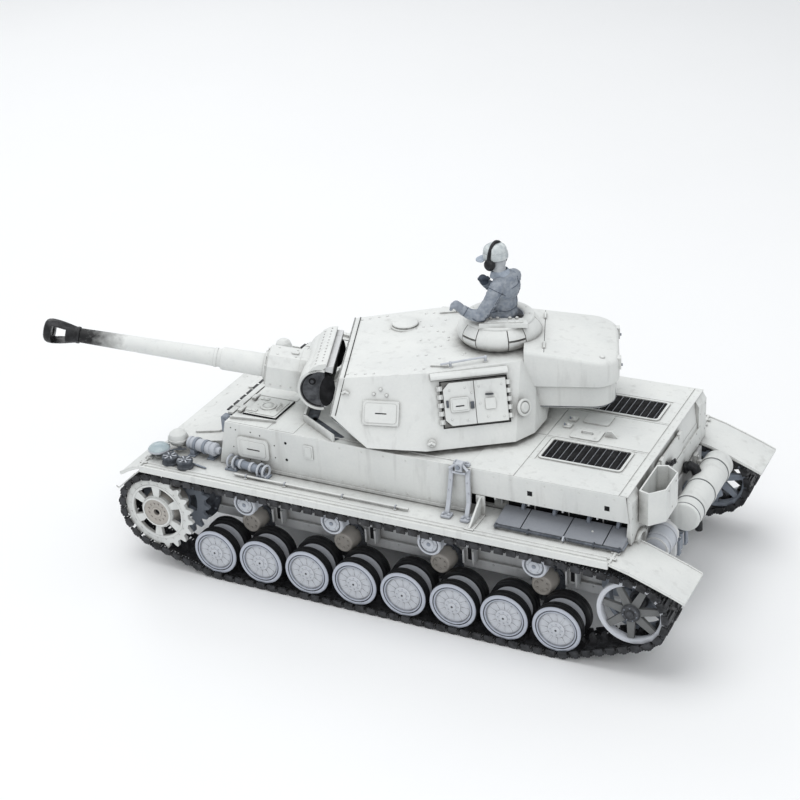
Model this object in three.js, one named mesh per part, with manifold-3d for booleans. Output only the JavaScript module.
// Radio-controlled model tank, 1:16. Millimetres, +X forward, +Y left, +Z up, ground at z = 0.
// Hull pieces are drawn in hull coordinates, whose x = 0 is the first road wheel's centre.
import * as THREE from 'three';
import { mergeVertices } from 'three/addons/utils/BufferGeometryUtils.js';
import { ConvexGeometry } from 'three/addons/geometries/ConvexGeometry.js';
import Module from 'manifold-3d';

const wasm = await Module();
wasm.setup();

// ---- driving dimensions -------------------------------------------------------------------
const FIRST_WHEEL_X = 93.6;      // first road wheel's centre ahead of the origin
const GAP = 0.3;                 // clearance between pieces that meet

const WHEEL_COUNT = 8;
const WHEEL_PITCH = 31.4;
const WHEEL_RADIUS = 14.6;
const TRACK_THICKNESS = 3.0;
const WHEEL_Z = TRACK_THICKNESS + GAP + WHEEL_RADIUS;
const WHEEL_IN_Y = 66.8;
const WHEEL_OUT_Y = 88;
const TRACK_IN_Y = 65.2;
const TRACK_OUT_Y = 89.8;

const SPROCKET = { x: 38.6, z: 38.4, wrap: 23.7, root: 21.4, teeth: 20, windows: 6 };
const IDLER = { x: -262.3, z: 38.8, radius: 19.5, spokes: 7 };
const ROLLER = { xs: [-22.5, -80.8, -142.7, -206.2], z: 54.3, radius: 7.5, in: 70, out: 85 };
const BOGIE_XS = [0, 1, 2, 3].map((i) => -(2 * i + 0.5) * WHEEL_PITCH);

const LOWER_HALF_WIDTH = 57;     // lower hull side
const UPPER_HALF_WIDTH = 67.5;   // superstructure side
const FLOOR_Z = 25.5;
const HULL_JOIN_Z = 66.5;        // top of the lower hull
const FENDER_Z = 67.5;
const FENDER_THICKNESS = 1.5;
const FENDER_OUT_Y = 90;
const UPPER_Z = FENDER_Z + FENDER_THICKNESS + GAP;
const DECK_Z = 98;
const BULKHEAD_X = -160;         // fighting compartment ends, engine bay begins
const REAR_X = -254.5;
const WALL = 2.6;

const HATCH = { front: -9, rear: -31, inner: 32, outer: 55, top: DECK_Z + 0.8, thick: 2.6 };

const TURRET_X = -125;
const TURRET_YAW = THREE.MathUtils.degToRad(20.6);
const RING_RADIUS = 49.5;
const TURRET_FLOOR_Z = 101;
const ROOF_Z = 142;
const TRUNNION = { u: 62.8, z: 118.5 };
const GUN_ELEVATION = THREE.MathUtils.degToRad(10.6);
const CUPOLA = { u: -25.2, radius: 24.7, top: 157, bore: 14 };

// ---- solid helpers ------------------------------------------------------------------------
function signedVolume(positions, triangles) {
  let sum = 0;
  const corner = [new THREE.Vector3(), new THREE.Vector3(), new THREE.Vector3()];
  for (let t = 0; t < triangles.length; t += 3) {
    for (let k = 0; k < 3; k += 1) corner[k].fromArray(positions, 3 * triangles[t + k]);
    sum += corner[0].dot(corner[1].clone().cross(corner[2]));
  }
  return sum / 6;
}

// A closed three.js geometry as a manifold solid, with its faces turned outward.
function solid(geometry) {
  const plain = geometry.clone();
  plain.deleteAttribute('normal');
  plain.deleteAttribute('uv');
  const merged = mergeVertices(plain, 1e-3);
  const positions = new Float32Array(merged.attributes.position.array);
  const kept = [];
  const index = merged.index.array;
  for (let t = 0; t < index.length; t += 3) {
    const [a, b, c] = [index[t], index[t + 1], index[t + 2]];
    if (a !== b && b !== c && c !== a) kept.push(a, b, c);
  }
  if (signedVolume(positions, kept) < 0) {
    for (let t = 0; t < kept.length; t += 3) [kept[t], kept[t + 1]] = [kept[t + 1], kept[t]];
  }
  return new wasm.Manifold(new wasm.Mesh({
    numProp: 3, vertProperties: positions, triVerts: new Uint32Array(kept),
  }));
}

function geometryOf(body) {
  const mesh = body.getMesh();
  const geometry = new THREE.BufferGeometry();
  geometry.setAttribute('position', new THREE.BufferAttribute(new Float32Array(mesh.vertProperties), 3));
  geometry.setIndex(new THREE.BufferAttribute(new Uint32Array(mesh.triVerts), 1));
  return geometry;
}

function join(...bodies) {
  return bodies.reduce((whole, piece) => whole.add(piece));
}

function cut(body, ...tools) {
  return tools.reduce((whole, tool) => whole.subtract(tool), body);
}

function box(x0, x1, y0, y1, z0, z1) {
  const geometry = new THREE.BoxGeometry(x1 - x0, y1 - y0, z1 - z0);
  return solid(geometry.translate((x0 + x1) / 2, (y0 + y1) / 2, (z0 + z1) / 2));
}

const AXES = { x: new THREE.Vector3(1, 0, 0), y: new THREE.Vector3(0, 1, 0), z: new THREE.Vector3(0, 0, 1) };

function shapeOf(points, holes = []) {
  const shape = new THREE.Shape(points.map(([a, b]) => new THREE.Vector2(a, b)));
  for (const hole of holes) shape.holes.push(new THREE.Path(hole.map(([a, b]) => new THREE.Vector2(a, b))));
  return shape;
}

function extrusion(points, depth, holes) {
  return new THREE.ExtrudeGeometry(shapeOf(points, holes), { depth, bevelEnabled: false });
}

// Outline in x and z, from y0 to y1.
function prismXZ(points, y0, y1, holes) {
  const basis = new THREE.Matrix4().makeBasis(AXES.x, AXES.z, AXES.y.clone().negate());
  return solid(extrusion(points, y1 - y0, holes).applyMatrix4(basis).translate(0, y1, 0));
}

// Outline in y and z, from x0 to x1.
function prismYZ(points, x0, x1) {
  const basis = new THREE.Matrix4().makeBasis(AXES.y, AXES.z, AXES.x);
  return solid(extrusion(points, x1 - x0).applyMatrix4(basis).translate(x0, 0, 0));
}

// Outline in x and y, from z0 to z1.
function prismXY(points, z0, z1) {
  return solid(extrusion(points, z1 - z0).translate(0, 0, z0));
}

// A solid turned about an axis through (x, y, z); the profile is a list of [radius, distance].
function turned(profile, axis, segments, at = [0, 0, 0]) {
  const geometry = new THREE.LatheGeometry(profile.map(([r, d]) => new THREE.Vector2(r, d)), segments);
  const turn = new THREE.Quaternion().setFromUnitVectors(AXES.y, AXES[axis]);
  return solid(geometry.applyQuaternion(turn).translate(...at));
}

function rod(axis, radius, d0, d1, segments, at = [0, 0, 0]) {
  return turned([[0, d0], [radius, d0], [radius, d1], [0, d1]], axis, segments, at);
}

// A round bar with one radius at each end.
function bar(from, to, r0, r1, segments = 6) {
  const a = new THREE.Vector3(...from);
  const b = new THREE.Vector3(...to);
  const geometry = new THREE.CylinderGeometry(r1, r0, a.distanceTo(b), segments);
  const turn = new THREE.Quaternion().setFromUnitVectors(AXES.y, b.clone().sub(a).normalize());
  return solid(geometry.applyQuaternion(turn).translate(...a.add(b).multiplyScalar(0.5).toArray()));
}

function ball(radius, at, stretch = [1, 1, 1], segments = 12) {
  const geometry = new THREE.SphereGeometry(radius, segments, Math.round(segments * 0.6));
  return solid(geometry.rotateX(Math.PI / 2).scale(...stretch).translate(...at));
}

function hullOf(points) {
  return solid(new ConvexGeometry(points.map((p) => new THREE.Vector3(...p))));
}

function mirroredPoints(points) {
  return points.flatMap(([u, v, z]) => (v === 0 ? [[u, v, z]] : [[u, v, z], [u, -v, z]]));
}

function arc(cx, cy, radius, from, to, steps) {
  const points = [];
  for (let i = 0; i <= steps; i += 1) {
    const angle = from + ((to - from) * i) / steps;
    points.push([cx + radius * Math.cos(angle), cy + radius * Math.sin(angle)]);
  }
  return points;
}

// ---- colours and assembly -----------------------------------------------------------------
const PAINT = { color: 0xe4e6e1, roughness: 0.62, metalness: 0.05 };
const GREY_BLUE = { color: 0xa9b4c2, roughness: 0.6, metalness: 0.1 };
const RUBBER = { color: 0x17181a, roughness: 0.8, metalness: 0.0 };
const TRACK = { color: 0x242526, roughness: 0.6, metalness: 0.5 };
const CLOTH = { color: 0x76828f, roughness: 0.75, metalness: 0.0 };
const CASE = { color: 0x2b3036, roughness: 0.6, metalness: 0.1 };

const tank = new THREE.Group();
tank.position.x = FIRST_WHEEL_X;
const turret = new THREE.Group();
turret.position.x = TURRET_X;
turret.rotation.z = TURRET_YAW;
tank.add(turret);
const gun = new THREE.Group();
gun.position.set(TRUNNION.u, 0, TRUNNION.z);
gun.rotation.y = -GUN_ELEVATION;
turret.add(gun);

function place(group, name, body, finish, at = [0, 0, 0]) {
  const geometry = body.isBufferGeometry ? body : geometryOf(body);
  const mesh = new THREE.Mesh(geometry, new THREE.MeshStandardMaterial(finish));
  mesh.name = name;
  mesh.position.set(...at);
  group.add(mesh);
}

const SIDES = [['left', 1], ['right', -1]];

// The same solid on the other side of the centre plane.
function onSide(body, side) {
  return side > 0 ? body : body.mirror([0, 1, 0]);
}

// ---- lower hull ---------------------------------------------------------------------------
function lowerHull() {
  const outline = [
    [-247, FLOOR_Z], [28, FLOOR_Z], [51, 42], [56, 52], [48, HULL_JOIN_Z], [-256.5, HULL_JOIN_Z], [-256.5, 38],
  ];
  const inside = [
    [-245, FLOOR_Z + WALL], [27, FLOOR_Z + WALL], [49, 43.5], [52.5, 52], [45, HULL_JOIN_Z + 1],
    [-253.9, HULL_JOIN_Z + 1], [-253.9, 39],
  ];
  const tub = cut(
    prismXZ(outline, -LOWER_HALF_WIDTH, LOWER_HALF_WIDTH),
    prismXZ(inside, WALL - LOWER_HALF_WIDTH, LOWER_HALF_WIDTH - WALL),
  );
  const towEyes = [-34, 34].map((y) => box(50, 58.5, y - 2, y + 2, 36, 47));
  const smallMuffler = rod('y', 7.5, 30, 50, 14, [-263.5, 0, 58]);
  const bracket = box(-262, -256, 36, 44, 46, 60);
  const towBar = box(-263, -256, -12, 12, 30, 38);
  return join(tub, ...towEyes, smallMuffler, bracket, towBar);
}

// ---- upper hull ---------------------------------------------------------------------------
function upperHull() {
  const wide = UPPER_HALF_WIDTH;
  const shell = join(
    prismXZ([[BULKHEAD_X - 1, UPPER_Z], [2.5, UPPER_Z], [-3.5, DECK_Z], [BULKHEAD_X - 1, DECK_Z]], -wide, wide),
    prismXZ([[1, 66.9], [49.5, 66.9], [49.5, 68.4], [1, 79]], -56.6, 56.6),
    prismXZ([[REAR_X, 82], [BULKHEAD_X, 82], [BULKHEAD_X, DECK_Z], [REAR_X + 2, DECK_Z]], -wide, wide),
    box(REAR_X, BULKHEAD_X, -54, 54, 66.9, 84),
  );
  const cavities = [
    box(BULKHEAD_X - 10, -6.5, -wide + WALL, wide - WALL, UPPER_Z - 1, DECK_Z - WALL),
    box(REAR_X + WALL, BULKHEAD_X, -51.4, 51.4, 60, DECK_Z - WALL),
    box(REAR_X + WALL + 2, BULKHEAD_X, -wide + WALL, wide - WALL, 84.6, DECK_Z - WALL),
    prismXZ([[-8, 60], [46, 60], [46, 66.8], [-8, 77]], -54, 54),
    rod('z', RING_RADIUS + 1.5, DECK_Z - 10, DECK_Z + 1, 48, [TURRET_X, 0, 0]),
  ];
  for (const [, side] of SIDES) {
    const [ya, yb] = [side * HATCH.inner, side * HATCH.outer].sort((a, b) => a - b);
    cavities.push(box(HATCH.rear - GAP, HATCH.front + GAP, ya - GAP, yb + GAP, DECK_Z - 5, DECK_Z + 5));
    cavities.push(...grillePockets(side));
  }
  const ledges = SIDES.map(([, side]) => hatchLedge(side));
  return join(cut(shell, ...cavities), ...ledges, rearCap());
}

// The deck's cooling openings, with slats left standing between the slots.
function grillePockets(side) {
  const slots = 9;
  const [front, rear, inner, outer] = [-195.5, -239, 21, 42];
  const pitch = (front - rear) / slots;
  const pockets = [];
  for (let i = 0; i < slots; i += 1) {
    const x0 = rear + i * pitch + 0.7;
    const [ya, yb] = [side * inner, side * outer].sort((a, b) => a - b);
    pockets.push(box(x0, x0 + pitch - 1.4, ya, yb, DECK_Z - 1.6, DECK_Z + 1));
  }
  return pockets;
}

function hatchLedge(side) {
  const ledge = box(HATCH.rear - 1, HATCH.front + 1, HATCH.outer, HATCH.outer + 1.5, DECK_Z - 4, DECK_Z - 1);
  return onSide(ledge, side);
}

function rearCap() {
  return box(REAR_X - 1.2, REAR_X + 2, -53.5, 53.5, 68, 80);
}

function hatch(side) {
  const [ya, yb] = [side * HATCH.inner, side * HATCH.outer].sort((a, b) => a - b);
  const yMid = (ya + yb) / 2;
  const xMid = (HATCH.front + HATCH.rear) / 2;
  return join(
    box(HATCH.rear, HATCH.front, ya, yb, HATCH.top - HATCH.thick, HATCH.top),
    rod('z', 4.6, HATCH.top - 0.5, HATCH.top + 0.9, 12, [xMid, yMid, 0]),
    box(HATCH.front - 2.4, HATCH.front, ya + 2, ya + 6, HATCH.top - 1, HATCH.top + 0.7),
    box(HATCH.front - 2.4, HATCH.front, yb - 6, yb - 2, HATCH.top - 1, HATCH.top + 0.7),
  );
}

// ---- fenders ------------------------------------------------------------------------------
function fender() {
  const top = FENDER_Z + FENDER_THICKNESS;
  const strip = [
    [-251, top], [46.5, top], [61.4, 62.2], [60.8, 61], [46, FENDER_Z], [-251, FENDER_Z],
    [-293, 53.3], [-293, 54.9],
  ];
  const plate = prismXZ(strip, LOWER_HALF_WIDTH + GAP, FENDER_OUT_Y);
  const lip = box(-250, 46, FENDER_OUT_Y - 1, FENDER_OUT_Y, 65.9, top + 0.6);
  return join(plate, lip);
}

// The left fender carries the lamps, two round covers and the brace under the engine bay.
function leftFender() {
  const top = FENDER_Z + FENDER_THICKNESS - 0.1;
  const brace = prismYZ([[67.9, top], [83.5, top], [82, 70.6], [67.9, 81]], -168.4, -167);
  return join(
    fender(),
    rod('z', 5.6, top, 75, 16, [42, 73, 0]),
    rod('z', 1.6, top, 75, 8, [34.5, 62.5, 0]),
    ball(5.6, [34.5, 62.5, 77.5]),
    rod('z', 4.8, top, 73.6, 14, [30.5, 79, 0]),
    rod('z', 4.8, top, 73.6, 14, [19.5, 80, 0]),
    brace,
  );
}

function rightFender() {
  const top = FENDER_Z + FENDER_THICKNESS - 0.1;
  return join(
    fender().mirror([0, 1, 0]),
    rod('z', 1.6, top, 80, 8, [31, -62.5, 0]),
    ball(5.2, [31, -62.5, 83]),
    box(-120, -20, -84, -78, top, 73),
    box(-235, -185, -76, -60, top, 78),
  );
}

// ---- running gear -------------------------------------------------------------------------
function roadWheel() {
  const half = (WHEEL_OUT_Y - WHEEL_IN_Y) / 2;
  const groove = 3.1;
  const profile = [
    [0, -half], [WHEEL_RADIUS, -half], [WHEEL_RADIUS, -groove], [9, -groove], [9, groove],
    [WHEEL_RADIUS, groove], [WHEEL_RADIUS, half], [11.6, half], [11.2, half - 1.3], [0, half - 1.3],
  ];
  return turned(profile, 'y', 14);
}

function returnRoller() {
  const half = (ROLLER.out - ROLLER.in) / 2;
  const profile = [
    [0, -half], [ROLLER.radius, -half], [ROLLER.radius, -2.6], [4.4, -2.6], [4.4, 2.6],
    [ROLLER.radius, 2.6], [ROLLER.radius, half], [0, half],
  ];
  return turned(profile, 'y', 12);
}

function toothedOutline(root, tip, count) {
  const points = [];
  const step = (2 * Math.PI) / count;
  for (let i = 0; i < count; i += 1) {
    for (const [radius, f] of [[root, -0.25], [tip, 0.05]]) {
      const angle = (i + f) * step;
      points.push([radius * Math.cos(angle), radius * Math.sin(angle)]);
    }
  }
  return points;
}

function fanWindows(inner, outer, count, fill) {
  const step = (2 * Math.PI) / count;
  return Array.from({ length: count }, (_, i) => {
    const [a, b] = [(i - fill / 2) * step, (i + fill / 2) * step];
    return [...arc(0, 0, outer, a, b, 2), ...arc(0, 0, inner, b, a, 1)];
  });
}

function sprocket() {
  const tip = SPROCKET.wrap - GAP;
  const outline = toothedOutline(SPROCKET.root, tip, SPROCKET.teeth);
  const outer = prismXZ(outline, 7.6, 10.6, fanWindows(10.7, 16.9, SPROCKET.windows, 0.6));
  const inner = rod('y', tip, -10.6, -7.6, 20);
  const hub = turned([[0, -11.4], [8, -11.4], [8, -8], [12, -7.7], [12, 7.7], [9.6, 8], [9.6, 11.4], [0, 11.4]],
    'y', 14);
  return join(outer, inner, hub);
}

function idler() {
  const { radius, spokes } = IDLER;
  const half = 9.5;
  const rim = cut(rod('y', radius, -half, half, 20), rod('y', radius - 3, -half - 1, half + 1, 20));
  const hub = rod('y', 5.2, -half - 1, half + 1, 10);
  const arms = [];
  for (let i = 0; i < spokes; i += 1) {
    const angle = ((i + 0.25) * 2 * Math.PI) / spokes;
    const [c, s] = [Math.cos(angle), Math.sin(angle)];
    const reach = radius - 2.5;
    arms.push(bar([3 * c, half - 2.4, 3 * s], [reach * c, half - 2.4, reach * s], 1.9, 1.9, 5));
  }
  return join(rim, hub, ...arms);
}

// The belt around the wheels: outward unit normals where the straight run leaves and meets each circle.
function beltOutline(circles, extra, steps) {
  const normals = circles.map((a, i) => {
    const b = circles[(i + 1) % circles.length];
    const span = new THREE.Vector2(b.x - a.x, b.z - a.z);
    const along = span.clone().normalize();
    const cosine = (a.r - b.r) / span.length();
    const sine = Math.sqrt(1 - cosine * cosine);
    return Math.atan2(along.y * cosine - along.x * sine, along.x * cosine + along.y * sine);
  });
  return circles.flatMap((c, i) => {
    const from = normals[(i + circles.length - 1) % circles.length];
    let to = normals[i];
    while (to < from - 1e-6) to += 2 * Math.PI;
    const count = Math.max(1, Math.ceil(((to - from) / (2 * Math.PI)) * steps));
    return arc(c.x, c.z, c.r + extra, from, to, count);
  });
}

const BELT = [
  { x: SPROCKET.x, z: SPROCKET.z, r: SPROCKET.wrap },
  { x: ROLLER.xs[0], z: ROLLER.z, r: ROLLER.radius + GAP },
  { x: ROLLER.xs[3], z: ROLLER.z, r: ROLLER.radius + GAP },
  { x: IDLER.x, z: IDLER.z, r: IDLER.radius + GAP },
  { x: -(WHEEL_COUNT - 1) * WHEEL_PITCH, z: WHEEL_Z, r: WHEEL_RADIUS + GAP },
  { x: 0, z: WHEEL_Z, r: WHEEL_RADIUS + GAP },
];

function track() {
  const outside = beltOutline(BELT, TRACK_THICKNESS, 36);
  const inside = beltOutline(BELT, 0, 36);
  return cut(prismXZ(outside, TRACK_IN_Y, TRACK_OUT_Y), prismXZ(inside, TRACK_IN_Y - 1, TRACK_OUT_Y + 1));
}

// One side's bogie mounts, axle stubs, roller brackets, final drive and idler bracket on their rail.
function suspension() {
  const y0 = LOWER_HALF_WIDTH + GAP;
  const face = y0 + 1.8;
  const parts = [box(-250, 14, y0, face, 27, 33)];
  for (const x of BOGIE_XS) {
    parts.push(turned([[0, y0], [10.4, y0], [10.4, face], [8.8, face + 0.3], [8.8, 66.2], [0, 66.2]],
      'y', 12, [x, 0, 27.5]));
    parts.push(box(x - WHEEL_PITCH / 2, x + WHEEL_PITCH / 2, face, 64.5, WHEEL_Z - 2.5, WHEEL_Z + 2.5));
    parts.push(box(x - 6, x + 6, face, 64.5, WHEEL_Z - 2, 27));
  }
  for (let i = 0; i < WHEEL_COUNT; i += 1) {
    parts.push(rod('y', 3, 60, WHEEL_IN_Y - GAP, 6, [-i * WHEEL_PITCH, 0, WHEEL_Z]));
  }
  for (const x of ROLLER.xs) {
    parts.push(box(x - 4, x + 4, y0, face, 30, ROLLER.z + 3));
    parts.push(rod('y', 2.4, y0, ROLLER.in - GAP, 6, [x, 0, ROLLER.z]));
  }
  parts.push(turned([[0, y0], [19, y0], [19, face], [15, 63], [8, 64.9], [0, 64.9]], 'y', 18,
    [SPROCKET.x - 8, 0, SPROCKET.z]));
  parts.push(box(-270, -236, y0, face, 28, 46));
  parts.push(rod('y', 4.4, y0, 66.2, 8, [IDLER.x, 0, IDLER.z]));
  return join(...parts);
}

// ---- turret -------------------------------------------------------------------------------
const SHELL_TOP = [[64.2, 40.8, 136.3], [13.4, 44.6, 141], [-38.3, 31.5, ROOF_Z], [-47, 22, ROOF_Z], [-51, 0, ROOF_Z]];
const SHELL_LOW = [
  [69.3, 49.1, 117], [66.5, 45, 110], [50, 56, TURRET_FLOOR_Z], [47.9, 59, TURRET_FLOOR_Z], [14.1, 63, TURRET_FLOOR_Z],
  [-35.5, 51.6, TURRET_FLOOR_Z], [-46, 41, TURRET_FLOOR_Z], [-52.5, 24, TURRET_FLOOR_Z], [-54, 0, TURRET_FLOOR_Z],
];
const SHELL_POINTS = mirroredPoints([...SHELL_TOP, ...SHELL_LOW]);

// The rear half of the turret's side is one sloping plane, which the doors lie in.
const sideAxisBack = new THREE.Vector3(-49.6, -11.4, 0).normalize();
const sideCorner = new THREE.Vector3(14.1, 63, TURRET_FLOOR_Z);
const sideTop = new THREE.Vector3(13.4, 44.6, 141);
const sideNormal = sideAxisBack.clone().cross(sideTop.clone().sub(sideCorner)).normalize();
const sideUp = sideNormal.clone().cross(sideAxisBack);

// A block on the side plane: s runs back along the turret, h up the slope, d out of the surface.
function sideBlock(s0, s1, h0, h1, d0, d1) {
  const geometry = new THREE.BoxGeometry(s1 - s0, h1 - h0, d1 - d0);
  geometry.translate((s0 + s1) / 2, (h0 + h1) / 2, (d0 + d1) / 2);
  const basis = new THREE.Matrix4().makeBasis(sideAxisBack, sideUp, sideNormal);
  return solid(geometry.applyMatrix4(basis).translate(...sideCorner.toArray()));
}

const DOOR = { front: 12, middle: 30, rear: 48.5, low: 12.5, high: 37.5, out: 1.6, deep: 1.4 };

function sideDoor(leaf) {
  const [s0, s1] = leaf === 'front' ? [DOOR.front, DOOR.middle - 0.2] : [DOOR.middle + 0.2, DOOR.rear];
  const hingeS = leaf === 'front' ? s0 : s1 - 2.2;
  const blocks = [sideBlock(s0, s1, DOOR.low, DOOR.high, -DOOR.deep, DOOR.out)];
  for (const h of [DOOR.low + 3, DOOR.high - 7]) {
    blocks.push(sideBlock(hingeS, hingeS + 2.2, h, h + 4, DOOR.out - 0.2, DOOR.out + 1));
  }
  const flapMiddle = leaf === 'front' ? (s0 + s1) / 2 : (s0 + s1) / 2 - 1;
  const half = leaf === 'front' ? 5.2 : 2.8;
  blocks.push(sideBlock(flapMiddle - half, flapMiddle + half, 20.5, 28.5, DOOR.out - 0.2, DOOR.out + 0.8));
  return join(...blocks);
}

function turretShell() {
  const outside = hullOf(SHELL_POINTS);
  const [wallScale, centreZ] = [0.93, 121];
  const inside = hullOf(SHELL_POINTS.map(([u, v, z]) => [
    u * wallScale, v * wallScale, centreZ + (z - centreZ) * wallScale,
  ]));
  const doorways = SIDES.map(([, side]) => onSide(
    sideBlock(DOOR.front - GAP, DOOR.rear + GAP, DOOR.low - GAP, DOOR.high + GAP, -DOOR.deep - GAP, 4), side));
  const doorHoles = SIDES.map(([, side]) => onSide(
    sideBlock(DOOR.front + 2, DOOR.rear - 2, DOOR.low + 2, DOOR.high - 2, -8, 4), side));
  const cage = cut(
    outside, inside,
    box(50, 80, -17, 17, 104, 133.5),
    rod('z', CUPOLA.bore, 130, 150, 20, [CUPOLA.u, 0, 0]),
    rod('z', RING_RADIUS - 6, 90, 110, 24),
    ...doorways, ...doorHoles,
  );
  const collar = cut(
    rod('z', RING_RADIUS, DECK_Z - 0.4, TURRET_FLOOR_Z + 1.5, 30),
    rod('z', RING_RADIUS - 6, 90, 110, 24),
  );
  const visors = SIDES.map(([, side]) => onSide(frontVisor(), side));
  const drip = SIDES.map(([, side]) => onSide(sideBlock(6.5, 50, 39.6, 41.4, -0.6, 3), side));
  const vent = turned([[0, 136], [7.5, 136], [7.5, 140.4], [6.2, 141.6], [0, 142]], 'z', 14, [32, -23, 0]);
  return join(cage, collar, ...visors, ...drip, vent);
}

// Raised vision plate on the front half of the turret's side.
function frontVisor() {
  const low = new THREE.Vector3(47.9, 59, TURRET_FLOOR_Z);
  const along = low.clone().sub(new THREE.Vector3(14.1, 63, TURRET_FLOOR_Z)).normalize();
  const out = along.clone().cross(new THREE.Vector3(64.2, 40.8, 136.3).sub(low)).normalize();
  const outward = out.y < 0 ? out.negate() : out;
  const up = outward.clone().cross(along).normalize();
  const facing = up.z < 0 ? up.negate() : up;
  const geometry = new THREE.BoxGeometry(21, 13.8, 2).translate(-7.1, 20.3, 0);
  const basis = new THREE.Matrix4().makeBasis(along, facing, along.clone().cross(facing));
  return solid(geometry.applyMatrix4(basis).translate(...low.toArray()));
}

function ringGear() {
  const [inner, top, bottom] = [RING_RADIUS - 6, DECK_Z - 0.8, DECK_Z - 8];
  return cut(prismXY(toothedOutline(RING_RADIUS - 1.6, RING_RADIUS, 30), bottom, top),
    rod('z', inner, bottom - 1, top + 1, 24));
}

function cupola() {
  const { u, top, bore } = CUPOLA;
  const drum = turned([
    [bore, ROOF_Z + GAP], [21.2, ROOF_Z + GAP], [22.9, 144], [24.2, 146], [24.6, 148], [24.3, 150.2], [23.3, 152.4],
    [21.6, 154.4], [20.4, 155.4], [20.4, top], [bore, top], [bore, ROOF_Z + GAP],
  ], 'z', 30, [u, 0, 0]);
  const slits = [0, 1, 2, 3, 4].map((i) => {
    const angle = THREE.MathUtils.degToRad(46 + 72 * i);
    const cutter = new THREE.BoxGeometry(4, 9, 1.2).translate(CUPOLA.radius, 0, 149.5);
    return solid(cutter.rotateZ(angle).translate(u, 0, 0));
  });
  const openLeaf = box(-42.6, -20, 11.2, 18.6, top - 0.1, top + 1.2);
  return join(cut(drum, ...slits), openLeaf);
}

function stowageBin() {
  const [front, rear, corner] = [-30, -93.8, 14];
  const [bottom, step, floor, ceiling] = [110.6, 125.4, 113, 136];
  const outlineOf = (inset) => {
    const half = 32.6 - inset;
    const side = arc(rear + inset + corner, half - corner, corner, Math.PI / 2, Math.PI, 5);
    const mirrored = side.map(([u, v]) => [u, -v]).reverse();
    return [[front, half - 2.4], ...side, ...mirrored, [front, 2.4 - half]];
  };
  const topAt = (u) => 145.8 + 0.162 * (u + 51);
  const aboveTop = prismXZ([[-100, topAt(-100)], [-20, topAt(-20)], [-20, 160], [-100, 160]], -40, 40);
  const upper = prismXY(outlineOf(0), step, 152);
  const lower = prismXY(outlineOf(2), bottom, step + 0.1);
  const cavity = box(-88, -55, -24, 24, floor, ceiling);
  const opening = box(-56, -40, -14, 14, 116, ceiling);
  const clearance = hullOf(SHELL_POINTS.map(([u, v, z]) => [u * 1.008, v * 1.008, 121 + (z - 121) * 1.02]));
  const cupolaRoom = rod('z', CUPOLA.radius + 0.4, 138, 170, 36, [CUPOLA.u, 0, 0]);
  return cut(join(upper, lower), aboveTop, cavity, clearance, cupolaRoom, opening);
}

// ---- gun ----------------------------------------------------------------------------------
function mantlet() {
  const [cx, radius, wall, half] = [15.5, 13, 3, 26];
  const start = THREE.MathUtils.degToRad(112);
  const shell = prismXZ([...arc(cx, 0, radius, -start, start, 16), ...arc(cx, 0, radius - wall, start, -start, 14)],
    -half, half);
  const cheeks = SIDES.map(([, side]) => onSide(box(9, 24, 14, 17, -9, 9), side));
  const hood = prismXZ([[10, 11.4], [16, 12], [16, 15], [10, 15.8]], -half, half);
  const lip = prismXZ([[24, 9.4], [21.4, 13.3], [17.8, 16], [14, 17.1], [14.1, 15.4], [15.9, 12.2], [21.5, 9.6]],
    -half, half);
  const cradle = box(-9, 20, -12, 12, -8.5, 8.5);
  const sleeve = prismYZ([[-11, -11.8], [11, -11.8], [11, 1.6], [7, 7.6], [-7, 7.6], [-11, 1.6]], 18, 49.3);
  return join(shell, ...cheeks, hood, lip, cradle, sleeve);
}

const BORE_DROP = -3.2;          // the tube's axis below the trunnion, across the gun

function barrel() {
  const profile = [[0, 49.6], [6.9, 49.6], [6.9, 77.2], [6.5, 77.6], [5.5, 77.6], [4.3, 162.4], [0, 162.4]];
  return turned(profile, 'x', 14, [0, 0, BORE_DROP]);
}

function muzzleBrake() {
  const body = turned([[0, 162.7], [4.9, 162.7], [4.9, 165.2], [5.2, 166.4], [6, 170], [6.8, 174.5], [7.3, 179],
    [6.9, 182], [5.8, 183.8], [2.8, 183.8], [2.8, 163.5], [0, 163.5]], 'x', 14, [0, 0, BORE_DROP]);
  const port = prismXZ([[170.6, -4.3], [179, -5.6], [179, 5.6], [170.6, 4.3]], -12, 12);
  return cut(body, port.translate([0, 0, BORE_DROP]));
}

// ---- commander figure ---------------------------------------------------------------------
function commander() {
  const u = CUPOLA.u;
  return join(
    ball(10, [u - 3, 0, 160], [0.78, 1, 1.6], 9),
    ball(10, [u - 5, 0, 173.5], [0.85, 1.08, 1.05], 9),
    bar([u - 4, 0, 178], [u - 1, 0, 187], 4.2, 3.8, 7),
    ball(7, [u + 0.7, 0, 190.8], [1, 0.9, 1.1], 9),
    ball(7, [u + 0.3, 0, 195.8], [1.04, 1, 0.8], 9),
    bar([u + 3, 0, 194.6], [u + 11, 0, 193.4], 3.8, 2.6, 8),
    bar([u - 0.5, 7, 175.5], [u + 10.2, 14, 161.9], 3.9, 3.2),
    bar([u + 9.8, 14, 161.8], [u + 19.6, 12.6, 165], 3.2, 2.4),
    ball(3.4, [u + 21.8, 12.4, 166.6], [1.35, 1, 1], 7),
    bar([u - 7.8, -8.5, 176], [u - 1, -13, 166], 3.9, 3.2),
    bar([u - 1.4, -13, 166], [u + 7.4, -7.4, 173.6], 3.2, 2.4),
    ball(3, [u + 8, -7, 174.5], [1, 1, 1.2], 7),
    bar([u - 1, 0, 138], [u - 2, 0, 160], 7.6, 7.8, 12),
  );
}

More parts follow.
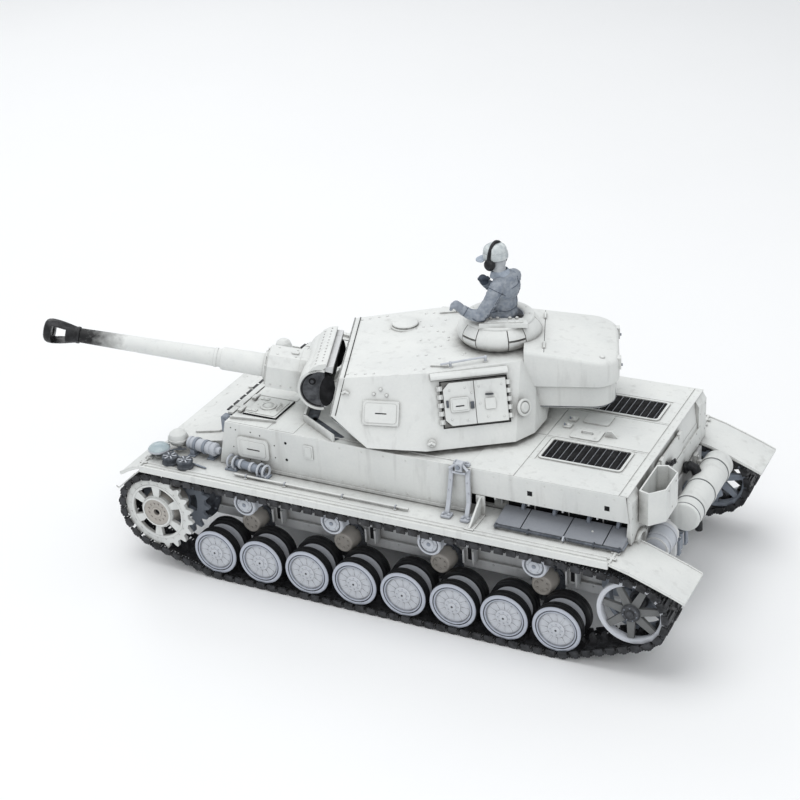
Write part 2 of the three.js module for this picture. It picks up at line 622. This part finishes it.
// ---- fittings -----------------------------------------------------------------------------
function muffler() {
  const at = [-269, 0, 60];
  const profile = [[0, -52.3], [7.4, -52.3], [8.8, -51], [8.8, 15], [7.4, 16.3], [0, 16.3]];
  return join(
    turned(profile, 'y', 16, at),
    rod('y', 9.4, 4, 6, 16, at),
    rod('y', 9.4, -42.5, -40.5, 16, at),
    bar([-258.5, -30, 63], [-265, -30, 61], 3, 3),
    box(-262.5, -256.9, -20, -14, 54, 66),
  );
}

function smokeRack() {
  const outline = [[-255.9, 26], [-255.9, 56], [-262, 58], [-269.5, 50], [-269.5, 30], [-262, 24]];
  const inside = [[-257, 28], [-257, 54.4], [-261.8, 56.2], [-268.1, 49.4], [-268.1, 30.6], [-261.8, 25.8]];
  return cut(prismXY(outline, 77, 97), prismXY(inside, 78.4, 98));
}

function spareTrack() {
  const [count, pitch, y0] = [13, 7.6, -45.6];
  const strip = box(-0.2, 3.2, y0, y0 + count * pitch, 84.6, 97);
  const guides = Array.from({ length: count }, (_, i) => {
    const y = y0 + (i + 0.5) * pitch;
    return box(3, 6.2, y - 2.6, y + 2.6, 88, 93);
  });
  return join(strip, ...guides);
}

function jack() {
  return join(
    bar([27.4, 61.6, 75.4], [6, 64.6, 75.4], 3.9, 3.9, 12),
    bar([6.4, 64.6, 75.4], [3.4, 65, 75.4], 2.2, 2.2, 8),
    box(8, 11, 61.5, 66.5, FENDER_Z + FENDER_THICKNESS + GAP, 74),
    box(23, 26, 60, 65, FENDER_Z + FENDER_THICKNESS + GAP, 74),
  );
}

function stowageBox() {
  const z0 = FENDER_Z + FENDER_THICKNESS + GAP;
  const panels = [0, 1, 2, 3].map((i) => box(-253.4 + i * 18.6, -235.6 + i * 18.6, 56.4, 75.4, z0 + 4, z0 + 6.6));
  return join(box(-254, -179.4, 56, 76, z0, z0 + 4.4), ...panels);
}

// ---- inside the hull ----------------------------------------------------------------------
const INNER_FLOOR = FLOOR_Z + WALL + GAP;

function battery() {
  return join(box(-200, -128, -22, 22, INNER_FLOOR, 54), box(-128, -124, -6, 6, 36, 44));
}

function gearbox() {
  return join(
    box(-8, 25, 8, 54, INNER_FLOOR, 52),
    rod('x', 11, -38, -7, 14, [0, 36, 41]),
    box(24, 40, 30, 54, 42, 51),
    rod('y', 3.4, 20, 54.1, 10, [38.6, 0, 44]),
  );
}

function controlBoard() {
  return join(
    box(-112, -44, -30, 30, INNER_FLOOR, INNER_FLOOR + 2),
    box(-104, -88, -20, 20, INNER_FLOOR + 1, INNER_FLOOR + 9),
    box(-76, -66, -12, 12, INNER_FLOOR + 1, INNER_FLOOR + 7),
  );
}

function speaker() {
  return turned([[0, INNER_FLOOR], [17, INNER_FLOOR], [17, INNER_FLOOR + 3], [9, INNER_FLOOR + 12],
    [9, INNER_FLOOR + 18], [0, INNER_FLOOR + 18]], 'z', 20, [-226, 0, 0]);
}

// ---- the whole tank -----------------------------------------------------------------------
place(tank, 'lower_hull', lowerHull(), PAINT);
place(tank, 'upper_hull', upperHull(), PAINT);
place(tank, 'fender_left', leftFender(), PAINT);
place(tank, 'fender_right', rightFender(), PAINT);

const wheelGeometry = geometryOf(roadWheel());
const rollerGeometry = geometryOf(returnRoller());
const sprocketGeometry = geometryOf(sprocket());
const idlerGeometry = geometryOf(idler());
for (const [sideName, side] of SIDES) {
  place(tank, `track_${sideName}`, onSide(track(), side), TRACK);
  place(tank, `suspension_${sideName}`, onSide(suspension(), side), GREY_BLUE);
  place(tank, `gearbox_${sideName}`, onSide(gearbox(), side), CASE);
  place(tank, `hatch_${sideName}`, hatch(side), PAINT);
}
// The right-hand wheels are the left-hand ones turned half a turn about the vertical.
function placeWheel(name, geometry, finish, side, x, y, z) {
  const turnedCopy = side > 0 ? geometry : geometry.clone().rotateZ(Math.PI);
  place(tank, name, turnedCopy, finish, [x, side * y, z]);
}
for (const [sideName, side] of SIDES) {
  for (let i = 0; i < WHEEL_COUNT; i += 1) {
    placeWheel(`road_wheel_${sideName}_${i + 1}`, wheelGeometry, RUBBER, side,
      -i * WHEEL_PITCH, (WHEEL_IN_Y + WHEEL_OUT_Y) / 2, WHEEL_Z);
  }
  ROLLER.xs.forEach((x, i) => {
    placeWheel(`return_roller_${sideName}_${i + 1}`, rollerGeometry, GREY_BLUE, side,
      x, (ROLLER.in + ROLLER.out) / 2, ROLLER.z);
  });
  placeWheel(`sprocket_${sideName}`, sprocketGeometry, PAINT, side, SPROCKET.x, 77.4, SPROCKET.z);
  placeWheel(`idler_${sideName}`, idlerGeometry, GREY_BLUE, side, IDLER.x, 77.4, IDLER.z);
}

place(turret, 'turret_shell', turretShell(), PAINT);
place(turret, 'turret_ring_gear', ringGear(), CASE);
place(turret, 'cupola', cupola(), PAINT);
place(turret, 'stowage_bin', stowageBin(), PAINT);
place(turret, 'commander', commander(), CLOTH);
for (const [sideName, side] of SIDES) {
  for (const leaf of ['front', 'rear']) {
    place(turret, `turret_door_${sideName}_${leaf}`, onSide(sideDoor(leaf), side), PAINT);
  }
}
place(gun, 'mantlet', mantlet(), PAINT);
place(gun, 'gun_barrel', barrel(), PAINT);
place(gun, 'muzzle_brake', muzzleBrake(), RUBBER);

place(tank, 'muffler', muffler(), PAINT);
place(tank, 'smoke_rack', smokeRack(), PAINT);
place(tank, 'spare_track', spareTrack(), TRACK);
place(tank, 'jack', jack(), GREY_BLUE);
place(tank, 'stowage_box', stowageBox(), GREY_BLUE);
place(tank, 'battery', battery(), CASE);
place(tank, 'control_board', controlBoard(), CASE);
place(tank, 'speaker', speaker(), CASE);

export default tank;
